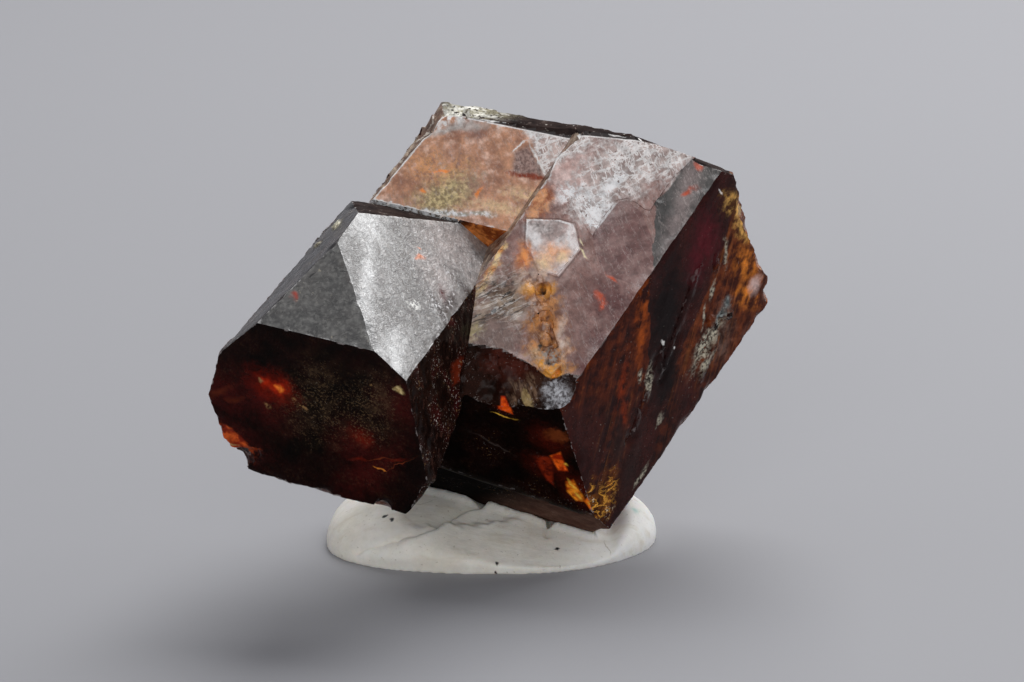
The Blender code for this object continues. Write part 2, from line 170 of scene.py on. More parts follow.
def crystal():
    ob = welded("zircon_crystals")
    remesh = ob.modifiers.new("fine", 'REMESH')
    remesh.mode = 'SHARP'
    remesh.octree_depth = REMESH_DEPTH
    remesh.scale = REMESH_SCALE
    remesh.use_remove_disconnected = False
    mesh = applied(ob)
    centre, normal = vectors(mesh.polygons, "center"), vectors(mesh.polygons, "normal")
    cost = np.full(len(centre), np.inf)
    surface = np.zeros(len(centre), int)
    for name, face in planes:
        foot, n = np.array(face[0]), np.array(face[3])
        c = np.abs((centre - foot) @ n) + TURNED * (1.0 - normal @ n)
        better = c < cost
        cost[better] = c[better]
        surface[better] = SURFACES.index(name)
    flat = cost < ON_FACE
    tree = KDTree(int(flat.sum()))
    for i in np.flatnonzero(flat):
        tree.insert(centre[i], int(i))
    tree.balance()
    for i in np.flatnonzero(~flat):
        surface[i] = surface[tree.find(centre[i])[1]]
    broken = (local(centre, end)[2] > -1.5) & ~flat & (normal @ np.array(end[3]) > .15)
    surface[broken] = SURFACES.index("break")
    u, v, h = local(centre, front)
    rim = np.interp(v, CHIP_V, CHIP_U) + .07 * field(centre, 2.6, 4.0, 2)
    on_front = surface == SURFACES.index("front")
    chipped = ((u < rim) & (v < CHIP_TO) & (v > CHIP_FROM) & (h > -1.9)
               & (on_front | (~flat & (u > -5.3) & (h < -.06))))
    surface[chipped] = SURFACES.index("chip")
    band = ((on_front | ((h > -.55) & (u > 5.5) & (v < -1.5)))
            & (u > np.interp(v, TOP_V, TOP_U) + .15))
    surface[band & (v < TOP_V[-1]) & (v > TOP_V[0])] = SURFACES.index("top")
    mesh.materials.clear()
    for name in SURFACES:
        mesh.materials.append(made[name])
    mesh.polygons.foreach_set("material_index", surface.astype(np.int32))

    # distance of every vertex from the nearest true crystal edge
    bm = bmesh.new()
    bm.from_mesh(mesh)
    bm.faces.ensure_lookup_table()
    pairs = [(e, [f.index for f in e.link_faces]) for e in bm.edges if len(e.link_faces) == 2]
    ridge = [(e.verts[0].co + e.verts[1].co) / 2 for e, (i, j) in pairs
             if e.calc_face_angle(0.0) > RIDGE and (flat[i] or flat[j]) and e.is_convex
             and not band[i] and not band[j]]
    bm.free()
    tree = KDTree(len(ridge))
    for i, p in enumerate(ridge):
        tree.insert(p, i)
    tree.balance()
    edge = np.array([tree.find(v.co)[2] for v in mesh.vertices])

    # relief, a different grain on each surface
    co = vectors(mesh.vertices, "co")
    share = np.zeros((len(SURFACES), len(co)))
    weight = np.zeros(len(co))
    for poly, s in zip(mesh.polygons, surface):
        for i in poly.vertices:
            share[s, i] += 1.0
            weight[i] += 1.0
    share /= np.maximum(weight, 1.0)
    part = dict(zip(SURFACES, share))
    vn = vectors(mesh.vertices, "normal")
    swell = field(co, .55, 3.0, 2)
    fine = field(co, 2.6, 11.0, 2)
    push = .014 * swell + .007 * fine
    fu, fv, fh = local(co, front)
    wrinkled = np.exp(-((fu - .7) / 1.6) ** 2 - ((fv - 1.7) / 1.3) ** 2)
    grain = 1.0 - np.abs(field(np.stack((fu * .9, fv * 2.4, fh), 1), 1.0, 5.0, 3)) * 2.0
    push += part["front"] * (.05 * wrinkled * grain)
    band = np.exp(-((fv - (.35 - .16 * (fu - .9))) / .55) ** 2) * (fu > -3.2) * (fu < 1.5)
    push += part["front"] * band * .06 * field(co, 1.6, 21.0, 2)
    sugary = unit((fu - 2.0) / 1.5) * unit(-1.6 - fv)
    push += part["front"] * sugary * .022 * field(co, 3.4, 8.0, 2)
    ru, rv, rh = local(co, right)
    streak = field(np.stack((ru * .22 + rv * .1, rv * 1.9, rh), 1), 1.0, 2.0, 3)
    push += part["right"] * .01 * streak
    push += part["break"] * (.15 * field(co, (.9, 1.5, 1.2), 4.0, 3)
                             - .13 * np.abs(field(co, 1.3, 14.0, 2)))
    radial = np.hypot(fu + 4.6, fv - 1.2)
    below = unit(np.interp(fv, CHIP_V, CHIP_U) - fu)
    push += part["chip"] * (.03 * np.sin(radial * 9.0 + 4.0 * swell) + .05 * fine
                            - .16 * unit(below / .25) * (fh > -.25))
    push += part["steps"] * .03 * field(co, (2.5, .6, 2.5), 6.0, 2)
    terrace = field(co, (.5, .5, .9), 31.0, 2)
    push += part["back"] * (.05 * np.round(terrace * 5.0) / 2.0 + .03 * fine)
    push += part["notch"] * .06 * field(co, 2.2, 9.0, 2)
    nick = unit(field(co, .9, 17.0, 2) - .16) * unit(1 - edge / .32)
    push -= .26 * nick
    push -= .03 * unit(1 - edge / .12)
    co += vn * push[:, None]
    under = -np.max([local(co, face)[2] for name, face in planes[:14] if name == "top"], axis=0)
    behind = -fh - .5 * unit((fv + 3.6) / .4)
    co[:, 2] += (np.interp(fv, LIFT_V, LIFT) * unit(behind / .7) * unit(1 - under)
                 * unit((fu - 3.5) / 1.5))
    mesh.vertices.foreach_set("co", (co * MM).astype(np.float32).ravel())
    rim = fu - np.interp(fv, CHIP_V, CHIP_U) - .07 * field(co, 2.6, 4.0, 2)
    rim[(fh < -.5) | (fv < CHIP_FROM) | (fv > CHIP_TO)] = 1.0
    for name, values in (("edge", np.clip(edge, 0, 2)), ("rim", rim)):
        layer = mesh.attributes.new(name, 'FLOAT', 'POINT')
        layer.data.foreach_set("value", values.astype(np.float32))
    mesh.shade_smooth()
    mesh.set_sharp_from_angle(angle=math.radians(SHARP_DEGREES))
    mesh.update()
    return ob


# ------ shader helpers
ABSORB, DENSITY = (.965, .62, 0.0), 2400.0        # red-brown light left after each millimetre
# the third colour is the orange of painted glows: light reflected inside the crystal, laid on as
# colour
OCHRE, SAND, PAINTED_GLOW = (.4, .22, .07), (.5, .42, .26), (1.0, .2, .012)


class Paint:
    """A crystal surface painted in layers in its face's own (u, v, n), in mm."""

    def __init__(self, name, face=None):
        self.mat = bpy.data.materials.new(name)
        self.mat.use_nodes = True
        self.tree = self.mat.node_tree
        self.tree.nodes.clear()
        self.out = self.add("ShaderNodeOutputMaterial")
        self.shader = self.add("ShaderNodeBsdfPrincipled")
        self.link(self.shader.outputs[0], self.out.inputs["Surface"])
        where = self.add("ShaderNodeTexCoord").outputs["Object"]
        turn = Matrix((face[1], face[2], face[3])) if face else Matrix.Identity(3)
        foot = turn @ face[0] if face else Vector((0, 0, 0))
        self.at = self.vec('MULTIPLY', self.add("ShaderNodeMapping", {
            "Vector": where, "Location": -foot * MM, "Rotation": turn.to_euler()}).outputs[0],
            (1 / MM,) * 3)
        wobble = self.add("ShaderNodeTexNoise", {"Vector": self.at, "Scale": 1.3, "Detail": 4.0})
        parts = self.add("ShaderNodeSeparateColor", {0: wobble.outputs["Color"]}).outputs
        shift = self.add("ShaderNodeCombineXYZ", {0: parts[0], 1: parts[1], 2: parts[2]})
        shift = self.vec('SUBTRACT', shift.outputs[0], (.5, .5, .5))
        self.warped = self.vec('ADD', self.at, self.vec('MULTIPLY', shift, (.7, .7, .7)))
        self.at_u, _, self.at_w = self.add("ShaderNodeSeparateXYZ", {0: self.at}).outputs
        self.fray = self.both(self.num('SUBTRACT', self.grain(4.5, 4.0, salt=3.3), .5), 1.6)
        self.colour = self.clear = self.rough = self.height = None

    def add(self, kind, inputs=None, **settings):
        node = self.tree.nodes.new(kind)
        for key, value in settings.items():
            setattr(node, key, value)
        for key, value in (inputs or {}).items():
            self.put(value, node.inputs[key])
        return node

    def link(self, a, b):
        self.tree.links.new(a, b)

    def put(self, value, socket):
        if isinstance(value, bpy.types.NodeSocket):
            self.link(value, socket)
        elif socket.type == 'RGBA' and len(value) == 3:
            socket.default_value = (*value, 1.0)
        else:
            socket.default_value = value

    def vec(self, operation, a, b=(0, 0, 0)):
        node = self.add("ShaderNodeVectorMath", {0: a, 1: b}, operation=operation)
        return node.outputs["Value" if operation in ('LENGTH', 'DOT_PRODUCT') else 0]

    def num(self, operation, a, b=0.0):
        return self.add("ShaderNodeMath", {0: a, 1: b}, operation=operation).outputs[0]

    def both(self, *masks):
        """Product, 1 where every mask is 1."""
        return reduce(lambda a, b: self.num('MULTIPLY', a, b), masks)

    def ramp(self, value, low, high, to_low=0.0, to_high=1.0):
        """Smooth step of a value between two limits."""
        return self.add("ShaderNodeMapRange", {
            "Value": value, "From Min": low, "From Max": high, "To Min": to_low,
            "To Max": to_high}, interpolation_type='SMOOTHSTEP').outputs[0]

    def mix(self, factor, a, b):
        return self.add("ShaderNodeMix", {0: factor, 6: a, 7: b}, data_type='RGBA').outputs[2]

    def blend(self, factor, a, b):
        return self.add("ShaderNodeMix", {0: factor, 2: a, 3: b}, data_type='FLOAT').outputs[0]

    def tint(self, value, low, high, a, b):
        """From colour a to colour b as a value goes between two limits."""
        return self.mix(self.ramp(value, low, high), a, b)

    def grain(self, scale, detail=4.0, stretch=None, turn=0.0, salt=0.0, ridged=False, rough=.6,
              bend=0.0):
        """Noise value; stretch squeezes it along u and v after a turn in degrees."""
        at = self.at
        if stretch or turn or salt:
            sx, sy = stretch or (1.0, 1.0)
            at = self.add("ShaderNodeMapping", {
                "Vector": self.at, "Rotation": (0, 0, math.radians(turn)),
                "Location": (salt, salt * .7, salt * .3), "Scale": (sx, sy, 1.0)}).outputs[0]
        node = self.add("ShaderNodeTexNoise", {"Vector": at, "Scale": scale, "Detail": detail,
                                               "Roughness": rough, "Distortion": bend})
        if not ridged:
            return node.outputs[0]
        return self.num('ABSOLUTE', self.num('SUBTRACT', node.outputs[0], .5))

    def spot(self, u, v, ru, rv, turn=0.0, soft=.35):
        """1 inside an uneven ellipse round (u, v), falling to 0 over its rim."""
        c, s = math.cos(math.radians(turn)), math.sin(math.radians(turn))
        at = self.vec('SUBTRACT', self.warped, (u, v, 0.0))
        away = self.vec('LENGTH', self.add("ShaderNodeCombineXYZ", {
            0: self.vec('DOT_PRODUCT', at, (c / ru, s / ru, 0.0)),
            1: self.vec('DOT_PRODUCT', at, (-s / rv, c / rv, 0.0))}).outputs[0])
        return self.ramp(self.num('ADD', away, self.fray), 1.0 + soft, 1.0 - soft)

    def spots(self, rows, soft=.35):
        total = None
        for row in rows:
            one = self.spot(*row, soft=soft)
            total = one if total is None else self.num('MAXIMUM', total, one)
        return total

    def side(self, p, q, soft=.05):
        """1 to the left of the line from p to q in (u, v)."""
        d = Vector((q[0] - p[0], q[1] - p[1])).normalized()
        n = Vector((-d.y, d.x))
        dist = self.num('SUBTRACT', self.vec('DOT_PRODUCT', self.warped, (n.x, n.y, 0.0)),
                        n.x * p[0] + n.y * p[1])
        return self.ramp(dist, -soft, soft)

    def inside(self, *corners):
        """Distance in mm to the nearest side of a straight-sided patch, negative outside."""
        turns = sum(p[0] * q[1] - q[0] * p[1] for p, q in zip(corners, corners[1:] + corners[:1]))
        corners = corners if turns > 0 else corners[::-1]
        total = None
        for p, q in zip(corners, corners[1:] + corners[:1]):
            d = Vector((q[0] - p[0], q[1] - p[1])).normalized()
            dist = self.num('SUBTRACT', self.vec('DOT_PRODUCT', self.at, (-d.y, d.x, 0.0)),
                            d.x * p[1] - d.y * p[0])
            total = dist if total is None else self.num('MINIMUM', total, dist)
        return total

    def facet(self, *corners, soft=.03):
        return self.ramp(self.inside(*corners), -soft, soft)

    def layer(self, mask, colour=None, clear=None, rough=None):
        """Lay a coat over what is there, where the mask, or each of several, is 1."""
        if isinstance(mask, tuple):
            mask = self.both(*mask)
        if colour is not None:
            self.colour = self.mix(mask, self.colour, colour)
        if clear is not None:
            self.clear = self.blend(mask, self.clear, clear)
        if rough is not None:
            self.rough = self.blend(mask, self.rough, rough)

    def dab(self, rows, soft, *coat, **more):
        """A coat over a group of spots."""
        self.layer(self.spots(rows, soft), *coat, **more)

    def relief(self, value, amount):
        self.height = self.num('ADD', self.height, self.both(value, amount))

    def finish(self, ior=1.95, specular=.5, depth=.03, absorb=ABSORB, mottled=.28):
        s = self.shader
        mottle = self.ramp(self.grain(2.8, 5.0, salt=60.0, rough=.78), .3, .7, 1 - mottled,
                           1 + mottled)
        self.put(self.vec('MULTIPLY', self.colour, mottle), s.inputs["Base Color"])
        self.put(self.rough, s.inputs["Roughness"])
        if self.clear is not None:
            self.put(self.clear, s.inputs["Transmission Weight"])
        s.inputs["IOR"].default_value = ior
        s.inputs["Specular IOR Level"].default_value = specular
        bump = self.add("ShaderNodeBump", {"Height": self.height, "Distance": depth * MM,
                                           "Strength": 1.0})
        self.link(bump.outputs[0], s.inputs["Normal"])
        if absorb:
            volume = self.add("ShaderNodeVolumeAbsorption")
            volume.inputs["Color"].default_value = (*absorb, 1.0)
            volume.inputs["Density"].default_value = DENSITY
            self.link(volume.outputs[0], self.out.inputs["Volume"])
        return self.mat


def stone(name, face, dark=(.3, .06, .025), warm=(.75, .18, .06), clear=.96,
          rough=.06, grit=.12):
    """Common start of every crystal surface: uneven deep red-brown glass."""
    p = Paint(name, face)
    p.coarse = p.grain(.75, 4, salt=33)
    p.medium = p.grain(2.1, 4.5, salt=5)
    p.fine = p.grain(6, 3, salt=9)
    p.colour = p.tint(p.coarse, .35, .65, dark, warm)
    p.clear = clear
    p.rough = p.ramp(p.medium, .3, .8, rough, rough + .14)
    p.height = p.both(p.fine, grit)
    return p


def dusty(p, amount, colour=OCHRE, scale=9.0, salt=2.0, within=None, cut=.6):
    """Fine specks of dirt, thicker in patches."""
    speck = p.ramp(p.grain(scale, 2, salt=salt), cut, cut + .06)
    where = p.ramp(p.coarse, .42, .66)
    if within is not None:
        where = p.num('MAXIMUM', p.num('MULTIPLY', where, .25), within)
    p.layer((speck, where, amount), colour, .05, .75)


def edge_wear_and_highlight(p, width=.055, colour=(.46, .41, .4), amount=.6):
    """Pale line along the crystal edges, broken up by noise: partly bruised wear, partly a painted
    highlight.
    """
    edge = p.add("ShaderNodeAttribute", attribute_name="edge").outputs["Fac"]
    ragged = p.num('ADD', edge, p.ramp(p.medium, .35, .7, -.04, .14))
    p.layer((p.ramp(ragged, width, width * .3), amount), colour, .15, .5)


def veined(p, scale, stretch, turn, low, high, salt=0.0):
    """Thin branching lines, 1 on the line."""
    return p.ramp(p.grain(scale, 4, stretch, turn, salt, ridged=True), high, low)


def front_paint():
    p = stone("zircon_front", front, (.265, .142, .12), (.48, .29, .255), .1, .24, .22)
    u, v, h = p.add("ShaderNodeSeparateXYZ", {0: p.at}).outputs
    streaky = p.grain(1.7, 5, (1, .55), 30, 21)
    # painted sheen: paler pinkish-grey patches towards the top edge, darker dusky patches lower
    # down
    p.layer((p.ramp(p.medium, .5, .74), p.ramp(u, -2, 2.5)), (.46, .33, .3))
    p.dab(((-.9, -2.6, 1.3, .9, 20), (-2.4, -1.5, .9, .6, 20), (1.3, -3.6, .8, .6),
        (-3.1, -.4, .5, .5)), .9, (.15, .058, .054))
    # pinkish smooth ground at the top, lightened as a painted sheen, then the sugary film over the
    # upper right
    p.layer(p.spots(((4.9, -3.1, 1.2, 1.5, 10), (5.8, -2.6, .7, .9)), .6), p.tint(p.medium, .36,
        .64, (.54, .34, .3), (.86, .64, .59)), 0, .3)
    sugar = p.spots(((4.5, -5.2, 1.3, 2.2, 20), (3.5, -3.3, 1, .9, 30), (4.4, -7.5, 1, 1.5, 35),
        (6.2, -3.6, .45, 2.4, 10)), .5)
    thread = p.num('MAXIMUM', veined(p, 2, (1, .35), 38, .008, .055), veined(p, 2.6, (.35, 1), 20,
        .006, .045, 6))
    p.layer(p.both(sugar, .9), p.tint(streaky, .36, .64, (.38, .285, .26), (.72, .61, .57)), 0, .42)
    p.layer((sugar, thread, .85), (.97, .94, .92), 0, .45)
    crest = p.spots(((3.2, -3.35, .95, .62, 28), (4.3, -2.6, .35, .5), (2.5, -3, .6, .22, 10),
        (3.9, -4.3, .3, .9, 25)), .6)
    p.layer((crest, p.num('MAXIMUM', thread, p.ramp(streaky, .4, .6, .25, .9))), (.97, .96, .96), 0,
        .4)
    p.layer((sugar, p.ramp(p.fine, .6, .68)), (.22, .15, .13), 0, .5)
    mauve = p.facet((3.14, -4.37), (3.07, -4.71), (2.38, -5.08), (1, -5.1), (-1.2, -4.35),
        (.5, -2.6), (2.15, -2.79))
    p.layer(p.both(mauve, .88), p.tint(streaky, .38, .64, (.205, .102, .095), (.36, .225, .205)),
        .1, .24)
    # greener strip along the right edge
    strip = p.num('SUBTRACT', 1, p.side((-1.2, -4.35), (2.49, -5.78), .03))
    strip = p.both(strip, p.side((3.3, -7.1), (2.35, -5.5), .06))
    strip = p.both(strip, p.ramp(h, .09, .04))
    p.layer(strip, p.tint(p.coarse, .4, .6, (.095, .09, .086), (.16, .148, .14)), .1, .2)
    p.layer((strip, p.spot(2.1, -6.9, 2.2, .4, -38, .8)), (.27, .215, .205), 0, .3)
    # orange-brown rear part, a little lower than the rest of the face
    rear = p.both(p.ramp(h, -.22, -.32), p.ramp(u, 2.6, 3.1))
    brown = p.tint(p.coarse, .36, .62, (.4, .185, .115), (.68, .34, .2))
    brown = p.tint(p.medium, .46, .74, brown, (.92, .6, .46))
    shade = p.spots(((7.7, 1.3, .8, .35, 70), (6.4, 1.1, .4, .5), (8.6, .2, .4, .4)), 1)
    brown = p.mix(p.both(shade, .6), brown, (.34, .185, .155))
    p.layer(rear, brown, .06, .3)
    p.layer((rear, p.both(p.ramp(p.fine, .36, .52),
        p.spots(((7.9, 2.6, .5, .6), (7.2, 1.9, .4, .9, 20)), 1))), (.8, .38, .16))
    p.layer((rear, p.spots(((9, 1, .18, 1.6, -12), (9.2, 2.4, .2, .8)), .9)), (.52, .45, .41), 0,
        .4)
    # darker rhomb, its red foot and bright side, and the pinkish ground right of it
    p.layer(p.both(rear, p.facet((7.05, -1.1), (7.05, -1.72), (5.44, -2), (6.15, -.62), soft=.14)),
        p.tint(p.fine, .38, .62, (.2, .115, .095), (.42, .27, .23)), 0, .4)
    p.layer((rear, p.spot(5.78, -1.25, .85, .12, 61, .7)), (.3, .05, .018), .1, .2)
    plateau = p.both(rear, p.ramp(p.num('ADD', v, p.both(p.fray, .1)), -1.82, -2))
    p.layer(plateau, p.tint(streaky, .38, .62, (.38, .265, .235), (.74, .58, .53)), 0, .4)
    p.layer((plateau, thread, .8), (.95, .92, .9), 0, .4)
    p.layer((rear, p.spots(((6.25, -1.86, .8, .045, 10), (7.15, -1.3, .03, .32, 20)), .8)),
        (.92, .89, .86), 0, .4)
    p.layer(p.both(rear, p.spot(6.25, 2.5, .75, 1.35, 15, .8)), p.tint(p.fine, .4, .62,
        (.32, .23, .11), (.7, .55, .28)), 0, .55)
    p.layer((rear, p.spots(((5.9, .9, .06, .28, 40), (7.4, 2.1, .05, .28, -15),
        (6.9, 3.1, .12, .08)), .8)), (1, .3, .06), 0)
    p.layer(p.both(rear, p.spots(((6, 3.6, .12, .9, -14), (5.6, 2.6, .11, .7, -22),
        (5.3, 1.9, .1, .5, -26), (5, 1.2, .1, .5, -26)), .8)), p.tint(p.fine, .42, .58,
        (.4, .36, .3), (.88, .9, .92)), 0, .5)
    p.layer((rear, p.both(p.ramp(p.fine, .34, .52),
        p.spots(((5, .4, .26, 1.1, -30), (5.15, -.9, .22, .8, -30)), .9))), (.8, .54, .31), 0, .45)
    p.layer((p.ramp(p.medium, .44, .56), p.spots(((7.5, -2.1, .4, .2, 60), (8.3, -1.4, .1, .5),
        (9.35, .3, .3, .6), (9.4, 1.1, .3, .5)), .7)), (.9, .88, .86), 0, .5)
    # island with its glow, the orange patches by it and the vein on its left
    p.layer(p.spots(((4.3, -1.3, .8, .45, -35), (3.9, -.8, .35, .35)), .5), p.tint(p.medium, .4, .6,
        (.42, .13, .05), (.84, .4, .19)), .05, .3)
    reach = p.inside((3.85, -.5), (3.3, -1.75), (2.9, -2.25), (1.8, -2.1), (1.05, -.85), (1.6, -.2),
        (2.9, -.1))
    island = p.ramp(reach, -.02, .03)
    p.layer(island, p.tint(streaky, .36, .62, (.55, .4, .37), (.95, .87, .85)), 0, .32)
    p.layer((p.both(island, p.spot(3.1, -1, .6, .8, 0, .6)), p.ramp(p.fine, .34, .56, .95, .4)),
        (.27, .225, .21), 0, .4)
    p.dab(((2.95, -.5, .5, .16, 12), (2.2, -1.75, .5, .1, -13)), .9, (.9, .86, .85), 0, .4)
    # painted highlight: white rim round the raised island, stronger on its upper side
    rimmed = p.both(p.ramp(reach, -.05, -.01), p.ramp(reach, .085, .03))
    p.layer((p.both(rimmed, p.ramp(p.medium, .38, .52)), p.ramp(u, 2.3, 3.2, .35, 1)),
        (.93, .9, .89), 0, .4)
    p.layer((p.ramp(reach, -.14, -.08), p.ramp(reach, -.02, -.06), .6), (.1, .055, .045), .05, .4)
    p.dab(((1.9, -.55, .45, .4), (1.95, -1.35, .3, .3), (2.15, -.9, .25, .3)), 1, (1, .5, .27), 0,
        .25)
    p.dab(((1.8, -.5, .32, .28), (1.75, -1.25, .22, .22)), 1, (1, .72, .44), 0, .25)
    p.layer(p.spot(2.35, .22, .62, .3, -30, .8), p.tint(p.medium, .4, .6, (.6, .17, .05),
        (.95, .36, .11)), 0, .3)
    vein = p.spots(((2.95, 1.02, .55, .13, 122), (2.25, 1.72, .65, .19, 128),
        (1.68, 2.5, .65, .2, 114), (1.4, 3.2, .32, .24)), .4)
    p.layer(vein, p.tint(p.medium, .42, .58, (.78, .32, .09), (.93, .68, .33)), 0, .5)
    p.layer((vein, veined(p, 1.4, (1.6, .5), 30, 0, .02, 11)), (.25, .1, .03), 0, .5)
    # wrinkled brown ground with cracks, and a smooth grey corner
    wrinkled = p.spots(((.9, 1.7, 1.1, 1.2), (.3, 2.7, .7, .8)), .8)
    p.layer(wrinkled, p.tint(streaky, .4, .66, (.13, .075, .042), (.52, .4, .3)), .1, .32)
    p.layer((wrinkled, p.both(veined(p, 1.2, (2.2, .35), -14, 0, .03), .8)), (.85, .8, .75), 0, .35)
    p.layer((wrinkled, veined(p, .9, (1.6, .25), 10, 0, .022, 4)), (.02, .012, .01), .1, .4)
    p.layer(p.spot(-.45, 2.5, .75, .9, 20, .4), (.27, .185, .16), .1, .14)
    # rusty pitted band
    band = p.spots(((.95, .3, .5, .6), (.15, .05, .7, .6), (-.8, .45, .88, .84),
        (-1.8, .8, .9, .94), (-2.65, .98, .6, .92)), .4)
    rust = p.tint(p.medium, .38, .6, (.2, .07, .024), (.62, .25, .065))
    rust = p.tint(p.coarse, .48, .64, rust, (.56, .34, .17))
    p.layer((band, .92), rust, 0, .5)
    p.dab(((-2.85, .95, .38, .55), (-2.2, 1.15, .3, .2), (.7, -.2, .25, .3), (1, .35, .2, .3)), .9,
        (.92, .4, .05), 0, .45)
    p.layer((p.ramp(p.medium, .4, .6), p.spots(((-1.5, -.05, .8, .2, -20), (1.35, .3, .3, .6),
        (.2, .5, .3, .16)), .9)), (.68, .52, .43), 0, .35)
    p.layer((p.ramp(p.fine, .44, .54), p.spot(-2.15, .75, .4, .34, 0, .8)), (.34, .29, .25), 0, .35)
    p.dab(((.75, .06, .17, .13), (-1.5, .9, .12, .1), (-2.3, .9, .1, .14)), .8, (.02, .01, .005),
        .1, .5)
    p.layer((p.spot(.1, 3.3, .42, .26, 100, .7), p.ramp(p.fine, .36, .54)), (.5, .4, .21), 0, .5)
    # flecks
    p.dab(((1.6, -2.2, .28, .05, 15), (2.05, -2.3, .14, .04)), .6, (.84, .72, .46), 0, .5)
    p.dab(((-.45, -2.1, .24, .09, 10), (-.8, -2.2, .16, .1, -30), (3.42, -8.15, .2, .12),
        (2.41, -7.24, .09, .24), (.1, -2.9, .25, .05, 30)), 1.1, (.62, .105, .045), 0, .25)
    # painted highlight: thin white line just below the rim of the dark top band
    over = p.inside((5.28, -6.18), (6.73, -3.43), (9.6, .8), (12, .8), (12, -6.18))
    p.layer((p.both(p.ramp(over, -.085, -.035), p.ramp(over, .01, -.02)), p.ramp(p.medium, .34,
        .46)), (.92, .89, .87), 0, .4)
    p.layer(p.ramp(over, -.015, .015), p.mix(p.medium, (.012, .009, .009), (.05, .036, .034)), 0,
        .6)
    rim = p.add("ShaderNodeAttribute", attribute_name="rim").outputs["Fac"]
    p.layer(p.ramp(rim, .1, .03), (.045, .018, .012), .1, .3)
    p.relief(p.grain(.9, 4, (.45, 1.7), 55, 12), .8)
    p.relief(p.coarse, .4)
    dusty(p, .3, (.7, .66, .63), 9, 31, cut=.64)
    hair = veined(p, 1.6, (.35, 1.5), 28, 0, .016, 14)
    p.layer((hair, .3), (.66, .56, .53), 0, .3)
    # painted highlight: white line along the crystal edges near the top of the face
    edge = p.add("ShaderNodeAttribute", attribute_name="edge").outputs["Fac"]
    p.layer((p.ramp(edge, .11, .05), p.ramp(u, 5.2, 5.7)), (.96, .94, .92), 0, .4)
    edge_wear_and_highlight(p, .08, (.9, .87, .85), p.ramp(u, 3.2, 5.2, .12, .9))
    return p.finish(specular=.2, depth=.05)


